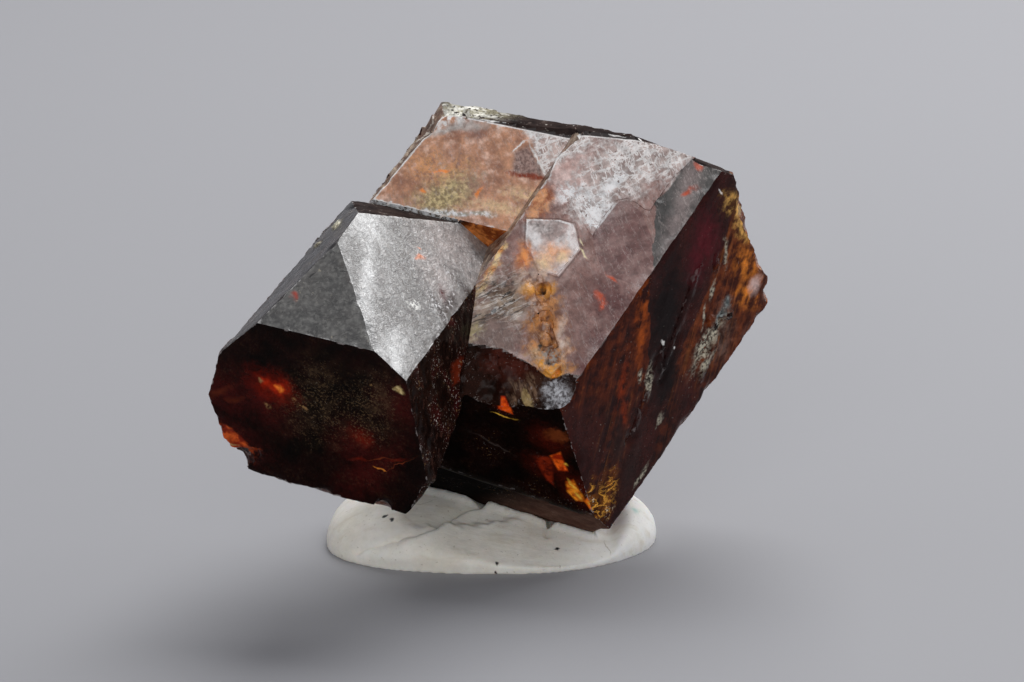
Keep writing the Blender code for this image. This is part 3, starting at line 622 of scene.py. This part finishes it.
def right_paint():
    p = stone("zircon_right", right, (.036, .01, .009), (.072, .017, .014), .3, .12, .06)
    streak = p.grain(1.5, 5, (.2, 1.7), -10, 3, bend=.35)
    thread = p.ramp(p.grain(2.4, 4, (.14, 2.2), -12, 8, bend=.4), .54, .66)
    p.dab(((6.3, -2, 1.1, .7, 25), (5.3, -1.9, .8, .6, 20)), 1, (.125, .012, .019), .2, .1)
    # clearer orange-brown side, right of a slanting border
    glassy = p.side((2.69, -2.71), (5.92, -3.55), .1)
    glassy = p.both(glassy, p.side((.5, -2.4), (2.69, -2.71), .1))
    glassy = p.both(p.num('SUBTRACT', 1, glassy), p.ramp(p.at_u, -1, 1))
    cloud = p.num('ADD', p.both(p.medium, .6), p.both(streak, .4))
    p.layer(glassy, p.tint(cloud, .38, .62, (.05, .01, .006), (.22, .05, .015)), .15, .22)
    p.layer(p.both(glassy, p.spots(((2.2, -4.7, .9, .55, 25), (1.2, -5, .7, .4, 20)), 1)),
        p.tint(p.medium, .38, .62, (.06, .028, .02), (.19, .11, .085)), .05, .3)
    # brown silky part on the left of the face, ending on a straight line
    silk = p.side((-.05, -.64), (4.08, .81), .04)
    silk = p.both(silk, p.ramp(p.num('ADD', p.at_u, p.both(p.fray, .7)), -2.2, .2))
    p.layer(silk, p.tint(cloud, .4, .6, (.036, .009, .007), (.13, .026, .01)), .1, .24)
    p.layer((p.both(silk, p.ramp(cloud, .36, .56)),
        p.spots(((3.3, .9, 1.1, .3, 15), (1.9, .6, .9, .2, 15)), 1.2)), (.46, .09, .012), .05, .2)
    p.layer((p.both(silk, thread), p.ramp(p.medium, .44, .62, 0, .6)), (.4, .11, .024), .05, .3)
    where = p.spots(((-1.8, 1, 1.6, .8, 6), (-4.2, .5, 1.6, .8, 0), (-2.6, -2.7, 3, .5, 8),
        (-.6, -4.6, 1.2, .6, 20)), .9)
    p.layer(where, p.tint(cloud, .42, .62, (.028, .009, .008), (.115, .024, .01)), .15, .22)
    p.layer((thread, p.num('MAXIMUM', where, glassy), .25), (.5, .16, .035), .1, .3)
    p.layer((p.ramp(cloud, .4, .56), p.spots(((-.2, 1, .8, .24, 12), (-1.6, .4, .6, .16, 20)),
        1.1)), (.3, .04, .01), .05, .2)
    black = p.both(p.num('SUBTRACT', 1, p.side((-.6, -.84), (4.08, .81), .04)),
        p.spots(((3, -.6, 2.4, .9, 12), (.2, -1.7, 1.6, .6, 10)), .7))
    p.layer(black, (.013, .006, .006), .3, .1)
    p.dab(((-4.3, -.9, 1.3, .5, 5), (-3, .3, .9, .35, 6)), 1, (.04, .017, .015), .2)
    amber = p.spots(((-5.75, .55, .75, .6, 40), (-5, 1.2, .5, .14, 20), (-4.8, .1, .5, .3, 10)), .9)
    p.layer(amber, p.tint(p.medium, .38, .64, (.045, .014, .005), (.3, .095, .014)), .05, .2)
    p.layer((amber, veined(p, 1.9, (1, .6), 30, .01, .035, 2)), (.9, .42, .06), 0, .3)
    p.layer((p.spots(((-6.2, -.15, .3, .22, 30), (-5.5, .9, .24, .1, 20)), .8),
        p.ramp(p.fine, .54, .6)), (.8, .7, .5), 0, .4)
    crust = p.spots(((1.35, -3.75, .95, .34, -20), (2, -4.15, .7, .3, -20),
        (.5, -4.2, .45, .22, -20), (-.05, -.6, .65, .13, 12), (.12, -.02, .24, .12),
        (-2, -2.05, .24, .12, -20), (3.9, -3.3, .42, .13, 10), (-4.55, -1.75, .45, .11, -25),
        (5.6, -3.5, .6, .11, 25), (2.6, -3.2, .5, .07, 10)), .9)
    p.layer(p.both(crust, p.ramp(p.fine, .3, .42)), p.tint(p.fine, .4, .6, (.055, .05, .042),
        (.62, .57, .44)), 0, .5)
    p.layer(p.spots(((3.3, -4.6, .24, .28, 20), (2.7, -4.2, .5, .16, -40)), .8),
        p.tint(p.fine, .4, .6, (.1, .12, .12), (.3, .33, .32)), 0, .5)
    p.dab(((8.4, -2.2, .24, .04, 30), (1.62, -.95, .05, .13, -60), (1.35, -1.75, .05, .06)), .5,
        (.85, .83, .8), 0, .5)
    # painted glows: golden and orange patches standing for light reflected inside the crystal
    gold = p.spots(((7.7, -3.4, .9, .4, 60), (6.7, -4.3, .8, .36, 50)), .9)
    p.layer(gold, p.tint(p.medium, .43, .62, (.095, .034, .012), (.9, .5, .13)), 0, .3)
    p.layer(p.spots(((5, -5.2, 1, .6, 55), (3.7, -5.7, .8, .5, 60)), .9), p.tint(cloud, .42, .64,
        (.085, .02, .009), (.92, .28, .035)), .05, .25)
    p.layer(p.spot(4.1, -6.1, .34, .24, soft=1), (.72, .5, .45), 0, .3)
    p.relief(streak, .3)
    dusty(p, .4, (.5, .46, .4), 8, cut=.67)
    edge_wear_and_highlight(p, amount=p.ramp(p.at_u, -4, -1.5, .6, .22))
    return p.finish(ior=1.25, specular=.18, depth=.05)


def low_paint():
    p = stone("zircon_low", low, (.006, .003, .002), (.018, .005, .003), .5, .05, .06)
    u, v, h = p.add("ShaderNodeSeparateXYZ", {0: p.at}).outputs
    p.dab(((-1.6, .4, .9, .5, 20), (-3.2, .5, 1.2, .5, -14), (-.6, -.9, .8, .6),
        (3.6, -2.6, .5, .9, 15), (2.3, -1, .6, .35, -22)), 1, (.085, .009, .004), .3)
    p.layer(p.spot(-.64, -1.35, .5, .34, 52, .6), (.16, .036, .01), .1)
    # painted glows: facets lit red and orange by light reflected inside the crystal, with bright
    # orange streaks
    gleam = p.ramp(p.medium, .38, .6)
    p.layer(p.facet((-.75, .43), (-1.34, -.16), (-2.49, 1.13), (-2.09, 1.11), soft=.1),
        p.mix(gleam, (.07, .008, .004), (.25, .022, .006)), .1)
    p.layer(p.facet((-1.21, -.17), (-1.36, -.71), (-2.33, -.06), (-2.04, .23), soft=.07),
        p.mix(gleam, (.34, .022, .004), (1, .15, .012)), 0, .15)
    p.layer(p.facet((2.54, -1.38), (2.38, -1.6), (1.4, -.85), (2.03, -.6), soft=.06),
        p.mix(gleam, (.5, .03, .005), (1, .12, .01)), 0, .15)
    p.layer(p.facet((-2.67, .5), (-2.8, .14), (-4.07, .78), (-3.75, 1.08), (-3.1, .95), soft=.07),
        p.mix(gleam, (.46, .06, .006), (1, .32, .02)), 0, .15)
    p.layer(p.facet((-3.95, .6), (-4.62, .87), (-4.55, 1.08), (-4, .82), soft=.05), PAINTED_GLOW, 0, .15)
    p.dab(((-2.95, .42, .24, .07, -22), (-3.6, .8, .24, .07, -18), (-4.35, .84, .2, .04, -18),
        (1.62, -.45, .4, .045, 27), (-1.95, -.22, .1, .07)), .9, (1, .58, .07), 0, .2)
    p.dab(((.9, 1.3, 1, .07, 10), (2.9, -2, .5, .05, 40)), .7, (.05, .035, .03), .3)
    under = p.both(p.ramp(h, -.05, -.16), p.ramp(h, -4, -3))
    p.layer(under, p.mix(p.ramp(u, -1.2, -4), (.004, .003, .003), p.tint(p.coarse, .3, .7,
        (.085, .04, .029), (.14, .078, .058))), 0, .7)
    ledge = p.ramp(h, -4.5, -5.5)
    p.layer(p.both(ledge, p.ramp(u, 7.2, 6.4)), p.tint(p.medium, .4, .6, (.2, .045, .012),
        (.62, .2, .05)), 0, .4)
    p.layer(p.both(ledge, p.ramp(u, 6.9, 7.6)), p.tint(p.fine, .36, .52, (.2, .16, .13),
        (.86, .88, .9)), 0, .5)
    dusty(p, .7, (.7, .68, .66), 11, 2, p.spot(3.6, -2, .9, 1.1), cut=.64)
    dusty(p, .3, OCHRE, 8, 14, cut=.64)
    edge_wear_and_highlight(p, amount=p.ramp(v, 2, .5, .3, .7))
    return p.finish(ior=1.12, specular=.08, depth=.04)


def ember_paint():
    p = stone("zircon_ember", ember, (.006, .003, .002), (.018, .004, .003), .5, .06, .08)
    p.dab(((3.4, 3.2, 1.8, .9, 25), (1.6, 4.7, 1.5, .8, 20), (-1.9, .3, 1, .9),
        (-3.2, .9, .7, 1.8, 10), (-1.6, -2.6, .9, .8), (2, 2, 1.4, .9)), 1, (.06, .007, .006), .3)
    brown = p.spots(((.4, .2, 1.7, 1.1, -50), (-.9, -1.3, 1, 1.5, 20), (-1.6, -.7, .9, .7)), 1)
    p.layer(p.both(brown, p.ramp(p.coarse, .38, .66, .2, 1)), p.tint(p.medium, .36, .66,
        (.008, .005, .004), (.074, .046, .025)), .1, .4)
    # painted glows: red and orange patches and a bright spot, light reflected inside the crystal
    p.layer(p.spot(2.1, 1.15, .85, .6, 15, 1), (.17, .01, .004), .05, .15)
    p.dab(((1.95, .98, .34, .22, 40), (2.45, 1.18, .22, .18)), 1, (.42, .022, .005), 0, .15)
    p.dab(((-1.86, -.05, .4, .28), (-2.5, .85, .3, .07, 54), (-3.5, -.5, .3, .07, 70)), 1.4,
        (.15, .012, .005), .1, .15)
    p.layer(p.spot(1.93, .94, .13, .1, 10, .9), (1, .24, .03), 0, .15)
    p.layer(p.spot(-3.36, .49, .24, .028, 24, .5), (.6, .2, .03), 0, .2)
    p.dab(((-3, .15, .5, .03, 54), (-3.72, -.5, .7, .03, 80)), .8, (.14, .028, .01), .05, .2)
    p.layer(p.both(p.side((-.1, 3.95), (2, 4.35), .1), p.spot(1.25, 4.6, 1.15, .85, 70, .5)),
        p.tint(p.medium, .4, .6, (.22, .02, .008), (.62, .1, .02)), .05, .15)
    p.dab(((3.3, 3.3, .55, .12, 80), (2.7, 3, .35, .12, 60)), 1.2, (.1, .018, .008), .2)
    dusty(p, .55, (.16, .1, .05), 11, 2, brown, cut=.56)
    dusty(p, .5, (.38, .32, .25), 14, 19, brown, cut=.66)
    p.layer((p.ramp(p.fine, .4, .52), p.spots(((2.68, 1.3, .11, .09), (1.15, .85, .1, .06, 30),
        (.66, .8, .15, .06, 20), (1.6, 2.05, .12, .08), (-.2, -2.3, .08, .05)), 1)), (.3, .17, .07),
        0, .6)
    p.layer(p.spot(1.2, 5, .34, .06, 55, .8), (.48, .3, .12), 0, .6)
    p.layer(p.spot(-1.16, -3.15, .17, .16, 0, .6), p.tint(p.fine, .4, .6, (.36, .24, .08),
        (.68, .54, .26)), 0, .5)
    edge_wear_and_highlight(p)
    return p.finish(ior=1.2, specular=.15, depth=.04)


def bright_paint():
    # painted sheen: the light grey ground and the paler patches below stand for light reflected by
    # the etched face
    p = stone("zircon_bright", bright, (.19, .185, .18), (.33, .325, .32), .05, .28, .3)
    hill = p.grain(1.7, 5, (.9, 1), 25, 14)
    p.dab(((3.2, -3.2, 1.4, 1.5), (1.5, -1.8, 1.2, .9), (2.2, -4.2, .9, .8)), 1, (.55, .495, .48),
        .05)
    p.dab(((3.4, 1.6, .9, .9), (.8, 2.7, 2.4, .34, -25), (-2.9, 2.7, 1.2, .5, -30)), 1,
        (.74, .745, .74), 0)
    # painted shade: darker patches towards the right and lower parts of the face
    shade = p.spots(((3.6, -6.9, 1.2, .5, 25), (.8, -3.5, .9, .22, 40), (-.7, -1.15, 1.4, .12, 10)),
        1)
    p.layer(shade, (.075, .066, .068), .15, .24)
    p.layer(p.spot(.5, -1.7, .45, .2, 0, 1), (.11, .012, .012), .2)
    p.layer((p.ramp(hill, .53, .64), .5), (.13, .12, .12), .05, .35)
    leather = p.grain(3.2, 3.5, (1, .7), 20, salt=44, ridged=True, rough=.65)
    p.layer((p.ramp(leather, .028, 0), .6), (.1, .093, .09), .05, .35)
    p.layer((p.ramp(leather, .08, .16), .5), (.54, .53, .52), 0, .3)
    scratch = p.num('MAXIMUM', veined(p, 1.1, (.3, 1.4), 35, 0, .018), veined(p, 1.3, (1.2, .25),
        15, 0, .014, 8))
    p.layer((scratch, .22), (.66, .67, .68), 0, .3)
    p.dab(((2.25, -.9, .07, .24, 12), (2.7, -1.1, .05, .1)), .9, (.85, .32, .18), 0)
    p.layer((p.spot(-.25, .45, .18, .34, 0, .7), p.ramp(p.fine, .47, .53)), (.95, .95, .9), 0, .5)
    # painted shade where the face drops down towards the notch
    p.layer((p.spot(.1, -1.85, .95, .26, -49, .8), p.ramp(p.medium, .34, .5)), (.06, .05, .05), .1,
        .3)
    # painted glints: white sparkle specks near the right margin
    painted_glints = p.spots(((.1, -1.85, .9, .22, -49), (0, -.95, .8, .3, 15), (1.6, -2.7, .6, .25, 40),
        (-.9, -.75, .5, .16), (2.6, -4.9, .6, .3, 40)), .9)
    p.layer((painted_glints, p.ramp(p.fine, .56, .61)), (.88, .87, .88), 0, .3)
    p.relief(hill, .8)
    p.relief(leather, 2.6)
    edge_wear_and_highlight(p, .075, (.8, .8, .79), .8)
    return p.finish(specular=.5, depth=.045)


def grey_paint():
    # painted reflection: the grey ground stands for the overhead light mirrored in this face
    p = stone("zircon_grey", grey, (.078, .076, .074), (.14, .133, .126), .2, .24, .25)
    p.layer((p.ramp(p.medium, .46, .7), .55), (.17, .165, .155), .05, .4)
    p.layer((p.ramp(p.fine, .48, .62), .45), (.23, .225, .21), 0, .4)
    p.dab(((2.7, -.6, .9, .5, 20), (1, -.8, .8, .5)), 1, (.105, .07, .058), .1)
    crack = veined(p, .8, (1.6, .5), -38, 0, .01, 3)
    p.layer((crack, .7), (.015, .014, .014), .1, .4)
    p.dab(((.53, 2.27, .14, .1), (1.5, 2.2, .08, .22)), 1, (.5, .05, .02), .05)
    p.dab(((1.2, 1.32, .04, .28, 30), (1, .08, .04, .18, -20)), .4, (.01, .01, .01), .1, .4)
    dusty(p, .6, (.48, .42, .3), 6, 4, cut=.65)
    p.relief(p.coarse, .5)
    p.relief(p.medium, .5)
    edge_wear_and_highlight(p, .06, (.52, .51, .5), .8)
    return p.finish(specular=.4, depth=.045)


def sliver_paint():
    p = stone("zircon_sliver", sliver, (.026, .023, .024), (.055, .04, .037), .2, .24, .2)
    p.dab(((-2.4, 1.6, 2.2, .7, -15), (.3, 1.3, 1.6, .5)), 1, (.12, .045, .036), .15)
    p.layer(p.spots(((2.13, -1.81, .5, .24, 40), (1.2, -1.05, .4, .16, 40)), .8),
        p.tint(p.fine, .4, .6, (.2, .17, .11), (.74, .7, .54)), 0, .6)
    dusty(p, .6, (.55, .52, .46), 7, 4)
    p.relief(p.medium, .4)
    edge_wear_and_highlight(p, .06, (.52, .51, .5), .8)
    return p.finish(specular=.25, depth=.045)


def top_paint():
    p = stone("zircon_top", None, (.016, .012, .012), (.046, .031, .028), 0, .4, .25)
    p.layer(p.ramp(p.medium, .58, .74), (.15, .115, .1), 0, .5)
    crumbs = p.spots(((-1, 3.6, 1.5, .9, 0), (-1.9, 3.3, .7, .6)), .8)
    crumbs = p.both(crumbs, p.ramp(p.at_w, 18.9, 19.15))
    p.layer(p.both(crumbs, p.ramp(p.fine, .34, .46)), p.tint(p.medium, .4, .6, (.34, .31, .22),
        (.88, .86, .78)), 0, .6)
    dusty(p, .9, (.66, .62, .55), 5, 4, cut=.64)
    edge_wear_and_highlight(p, .07, (.82, .79, .76), .8)
    return p.finish(ior=1.1, specular=.06, depth=.05)


def steps_paint():
    p = stone("zircon_steps", None, (.13, .075, .055), (.3, .17, .12), .2, .25, .3)
    p.layer(p.ramp(p.medium, .46, .66), (.52, .4, .3), .05, .5)
    dusty(p, .8, (.62, .5, .3), 5, 4)
    edge_wear_and_highlight(p, .08, (.8, .72, .62), .85)
    return p.finish(specular=.3, depth=.05)


def back_paint():
    """Faces that were not seen: dark glass, patches of painted sheen, growth lines, a few painted
    glows.
    """
    p = stone("zircon_back", front, (.022, .009, .008), (.085, .022, .015), .45, .12, .1)
    zone = p.grain(.17, 4, salt=17)
    lines = p.grain(1.1, 5, (.16, 1.2), 4, 3)
    # painted sheen: paler brown patches
    painted_sheen = p.ramp(p.num('ADD', zone, p.both(p.fray, .06)), .47, .55)
    p.layer(painted_sheen, p.tint(p.medium, .35, .68, (.105, .052, .043), (.24, .14, .115)), .1, .3)
    p.layer((p.ramp(lines, .46, .66), .6), (.17, .055, .026), .15, .26)
    # painted glows: red-orange patches along the growth lines
    glow = p.both(p.ramp(p.grain(.42, 4, salt=40), .58, .72), p.ramp(lines, .36, .6))
    p.layer(glow, p.tint(p.medium, .4, .64, (.16, .02, .007), (.74, .15, .02)), .05, .2)
    p.layer(p.ramp(p.num('ADD', p.grain(.35, 4, salt=52), p.both(p.fray, .08)), .64, .68),
        p.tint(p.fine, .4, .6, (.14, .1, .065), (.5, .45, .35)), 0, .6)
    p.layer((veined(p, .9, (.3, 1.6), 20, 0, .014), .5), (.4, .34, .31), 0, .4)
    p.relief(lines, .5)
    p.relief(p.medium, .5)
    dusty(p, .6, OCHRE, 9, cut=.62)
    edge_wear_and_highlight(p)
    return p.finish(ior=1.35, specular=.25, depth=.05)


def notch_paint():
    p = stone("zircon_notch", None, (.01, .005, .004), (.038, .014, .01), .4, .14, .3)
    p.layer(p.ramp(p.medium, .5, .7), (.05, .02, .014), .1, .3)
    p.layer(p.ramp(p.coarse, .52, .68), (.05, .007, .007), .2, .2)
    window = p.both(p.ramp(p.at_w, 9.25, 9.45), p.ramp(p.at_w, 10.45, 10.2))
    p.layer((p.spot(-1.55, -3.9, .5, .6, 0, .5), window), (.17, .022, .008), .1, .2)
    # painted glints: pale specks over the dark crumbs in the notch
    dusty(p, 1, (.62, .58, .52), 9, 4, cut=.62)
    dusty(p, .6, (.36, .22, .08), 6, 14, cut=.63)
    p.relief(p.medium, .8)
    edge_wear_and_highlight(p, amount=.3)
    return p.finish(ior=1.15, specular=.12, depth=.05)


def break_paint():
    p = stone("zircon_break", end, (.12, .028, .012), (.42, .11, .03), .4, .14, .3)
    p.layer(p.ramp(p.grain(.8, 5, salt=3), .44, .62), p.tint(p.medium, .4, .62, (.13, .028, .01),
        (.8, .26, .035)), .1, .22)
    p.layer(p.ramp(p.grain(1.5, 5, salt=23), .58, .7), (.58, .38, .16), 0, .4)
    p.layer(p.ramp(p.coarse, .58, .7), (.12, .1, .1), .1, .45)
    p.relief(p.medium, .6)
    dusty(p, .8, SAND, 7, 4)
    edge_wear_and_highlight(p)
    return p.finish(ior=1.4, specular=.3, depth=.06)


def chip_paint():
    p = stone("zircon_chip", front, (.012, .006, .004), (.04, .015, .01), .3, .1, .15)
    ribs = p.grain(1.5, 4, (.45, 2.2), 35, 2)
    brown = p.spots(((-1.9, 2.3, .9, .6, -35), (-2.4, 1.5, .6, .5, -20), (-1.2, 2.9, .5, .5)), .9)
    p.layer(brown, p.tint(p.coarse, .42, .58, (.052, .012, .008), (.1, .022, .014)), .1)
    leaf = p.spots(((-2.95, 1.7, .5, .6, 10), (-2.9, 2.4, .5, .45, 30)), .7)
    p.layer((leaf, .8), (.05, .024, .014), .05)
    p.layer((leaf, p.ramp(ribs, .5, .6)), (.21, .125, .078), .05, .25)
    # painted glow: a facet lit red from inside the crystal
    p.layer(p.facet((-2.77, 3.23), (-2.83, 3.08), (-3.72, 3.05), (-3.29, 3.45), soft=.05),
        p.tint(p.medium, .38, .6, (.5, .03, .005), (1, .12, .01)), 0, .15)
    # painted sheen and glints: whitish-grey patch and thin white streaks on the chip floor
    p.layer(p.both(p.ramp(p.medium, .34, .5),
        p.spots(((-3.6, 1, .5, .55, 20), (-4.1, .9, .25, .5, 10), (-4.05, 1.7, .1, .5, 30)), .7)),
        p.tint(p.fine, .36, .6, (.13, .12, .125), (.6, .6, .63)), 0, .22)
    p.layer(p.spot(-3.35, 2.3, .46, .14, 5, .4), p.tint(ribs, .4, .6, (.15, .085, .03),
        (.42, .3, .14)), 0, .5)
    p.relief(ribs, .6)
    dusty(p, .5, (.6, .57, .52), 11, 4, cut=.655)
    edge_wear_and_highlight(p, amount=.35)
    return p.finish(ior=1.2, specular=.2, depth=.05)


made = dict(zip(SURFACES, (
    front_paint(), right_paint(), low_paint(), top_paint(), steps_paint(), back_paint(),
    bright_paint(), grey_paint(), sliver_paint(), ember_paint(), notch_paint(), break_paint(),
    chip_paint())))

stone_piece = crystal()
stone_piece.name = "zircon_cluster"
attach(stone_piece, "root")
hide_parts("zircon_crystals")


# ------ putty
# line of the fold over the mound and the short nick in its front lip, x and y in mm
FOLD = ((-6.3, -.1), (-5.85, -.31), (-5.1, -.61), (-4.36, -.78), (-3.54, -.62),
        (-2.69, -.18), (-2.09, .68), (-1.45, 1.36), (-.62, 1.77), (.35, 2.3))
NICK = ((2.15, .6), (2.3, 2.6))


def from_line(points, line):
    """Signed distance of points from a line in plan, positive on its right."""
    best = np.full(len(points), 99.0)
    sign = np.ones(len(points))
    for p, q in zip(line, line[1:]):
        p, d = np.array(p), np.array(q) - np.array(p)
        rel = points - p
        t = np.clip(rel @ d / (d @ d), 0, 1)
        away = np.linalg.norm(rel - t[:, None] * d, axis=1)
        near = away < best
        best[near] = away[near]
        sign[near] = np.sign(rel[near, 1] * d[0] - rel[near, 0] * d[1]) * -1.0
    return best * sign


def putty():
    ob = welded("putty_mound")
    remesh = ob.modifiers.new("fine", 'REMESH')
    remesh.mode = 'VOXEL'
    remesh.voxel_size = PUTTY_VOXEL
    mesh = applied(ob)
    co, normals = vectors(mesh.vertices, "co"), vectors(mesh.vertices, "normal")
    upper = unit((co[:, 2] - .15) / .4) * unit((normals[:, 2] + .4) / .5)
    fold = from_line(co[:, :2], FOLD)
    ends = unit((co[:, 0] + 6.6) / .6) * unit((.7 - co[:, 0]) / .6)
    push = ends * np.where(fold > 0, .17 * bell(fold, .55) * (1 - bell(fold, .12)),
                           -.15 * bell(fold, .45))
    push -= ends * .1 * bell(fold, .1)
    push -= .13 * bell(from_line(co[:, :2], NICK), .13)
    push += .035 * field(co, .45, 5.0, 2) + .01 * field(co, (1.2, 2.6, 1.6), 15.0, 2)
    co += normals * (push * upper)[:, None]
    graph = bpy.context.evaluated_depsgraph_get()
    bvh = BVHTree.FromObject(stone_piece, graph)
    for i in np.flatnonzero(upper > 0):
        at = Vector(co[i]) * MM
        hit, normal, _, away = bvh.find_nearest(at, .45 * MM)
        if hit is None:
            continue
        away /= MM
        if (at - hit).dot(normal) < 0:
            co[i] = np.array(hit + normal * CONTACT * MM) / MM
        else:
            share = min(max((REACH - away) / .12, 0.0), 1.0) * max(away - CONTACT, 0.0) / away
            co[i] += (np.array(hit) / MM - co[i]) * share
    mesh.vertices.foreach_set("co", (co * MM).astype(np.float32).ravel())
    mesh.shade_smooth()
    mesh.update()
    return ob


def putty_paint():
    p = Paint("putty")
    p.colour = p.tint(p.grain(.5, 5), .36, .66, (.83, .79, .7), (.92, .89, .82))
    p.clear = None
    p.rough = p.ramp(p.grain(1.5, 4), .3, .7, .42, .58)
    smear = p.grain(1.1, 4, (.25, 1.5), 12, 3)
    # painted light: the putty paler towards its right end
    p.layer(p.ramp(p.at_u, 1.5, 5.5, 0, .9), (.98, .96, .92))
    p.layer((p.ramp(smear, .52, .72), .5), (.66, .59, .46))
    p.layer((p.ramp(p.grain(7, 2, salt=8), .66, .72), .5), (.4, .34, .25))
    p.layer(p.spot(6.1, 2.6, .2, .13, 60, 1.3), (.5, .72, .66))
    p.dab(((-1.97, 4, .2, .08, 10), (-1.5, 4.1, .12, .09), (-1.05, 4.2, .26, .06, 5),
        (-.6, 4.27, .12, .07), (-4.87, .63, .12, .1, 40), (-4.56, .28, .1, .09),
        (2.59, -.16, .13, .07, 20), (-.09, -1.5, .08, .07)), .5, (.012, .011, .01), rough=.6)
    crack = p.spots(((4.7, .5, .025, .5, 12), (-3.4, 1.6, .6, .02, 30)), .4)
    p.layer((crack, .5), (.42, .36, .28))
    p.height = p.both(p.grain(9, 3), .15)
    p.relief(smear, .9)
    mat = p.finish(ior=1.45, specular=.4, depth=.05, absorb=None, mottled=.04)
    shader = p.shader
    shader.inputs['Subsurface Weight'].default_value = .3
    shader.inputs['Subsurface Radius'].default_value = (1, .7, .45)
    shader.inputs['Subsurface Scale'].default_value = .7 * MM
    return mat


mound = putty()
mound.name = "putty"
mound.data.materials.clear()
mound.data.materials.append(putty_paint())
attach(mound, "root")
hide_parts("putty_mound")


# ------ stage
FLOOR_NEAR, FLOOR_FAR, BEND, BEND_STEPS, WALL_TOP, HALF_WIDTH = -.45, .26, .12, 12, .6, .7


def sweep():
    """Pale floor that curves up into the backdrop."""
    profile = [(FLOOR_NEAR, 0.0), (FLOOR_FAR, 0.0)]
    for i in range(1, BEND_STEPS + 1):
        a = math.pi / 2 * i / BEND_STEPS
        profile.append((FLOOR_FAR + BEND * math.sin(a), BEND * (1 - math.cos(a))))
    profile.append((FLOOR_FAR + BEND, WALL_TOP))
    bm = bmesh.new()
    rows = [[bm.verts.new((x, y, z)) for x in (-HALF_WIDTH, HALF_WIDTH)] for y, z in profile]
    for a, b in zip(rows, rows[1:]):
        bm.faces.new((a[0], a[1], b[1], b[0]))
    mesh = bpy.data.meshes.new("backdrop")
    bm.to_mesh(mesh)
    bm.free()
    mesh.shade_smooth()
    ob = bpy.data.objects.new("backdrop", mesh)
    bpy.context.scene.collection.objects.link(ob)
    return ob


floor = sweep()
mat = bpy.data.materials.new("floor")
mat.use_nodes = True
sh = mat.node_tree.nodes["Principled BSDF"]
sh.inputs["Base Color"].default_value = (.33, .33, .35, 1)
sh.inputs["Roughness"].default_value = .7
floor.data.materials.append(mat)


def panel(name, direction, distance, size, power):
    """A soft light that looks at the middle of the stone from a direction."""
    light = bpy.data.lights.new(name, 'AREA')
    light.shape = 'RECTANGLE'
    light.size, light.size_y = size
    light.energy = power
    ob = bpy.data.objects.new(name, light)
    d = Vector(direction).normalized()
    ob.location = Vector((0, 0, .011)) + d * distance
    ob.rotation_euler = d.to_track_quat('Z', 'Y').to_euler()
    bpy.context.scene.collection.objects.link(ob)
    return ob


panel("window", (.73, .55, .39), .3, (.2, .16), .27)
panel("sky", (.2, .5, .84), .32, (.3, .24), 1.0)
panel("front", (-.1, -.93, .36), .36, (.26, .18), .4)
world = bpy.data.worlds.new("world")
world.use_nodes = True
world.node_tree.nodes["Background"].inputs[0].default_value = (.8, .81, .85, 1)
world.node_tree.nodes["Background"].inputs[1].default_value = .36
bpy.context.scene.world = world
bpy.context.scene.view_settings.view_transform = 'Standard'

cam = bpy.data.cameras.new("camera")
cam.lens = 126.5625
cam.sensor_width = 36.0
cam.clip_start = .01
cam.clip_end = 5.0
camera = bpy.data.objects.new("camera", cam)
camera.location = (.0006, -.14759, .05235)
camera.rotation_euler = (math.radians(74.0), 0.0, 0.0)
bpy.context.scene.collection.objects.link(camera)
bpy.context.scene.camera = camera
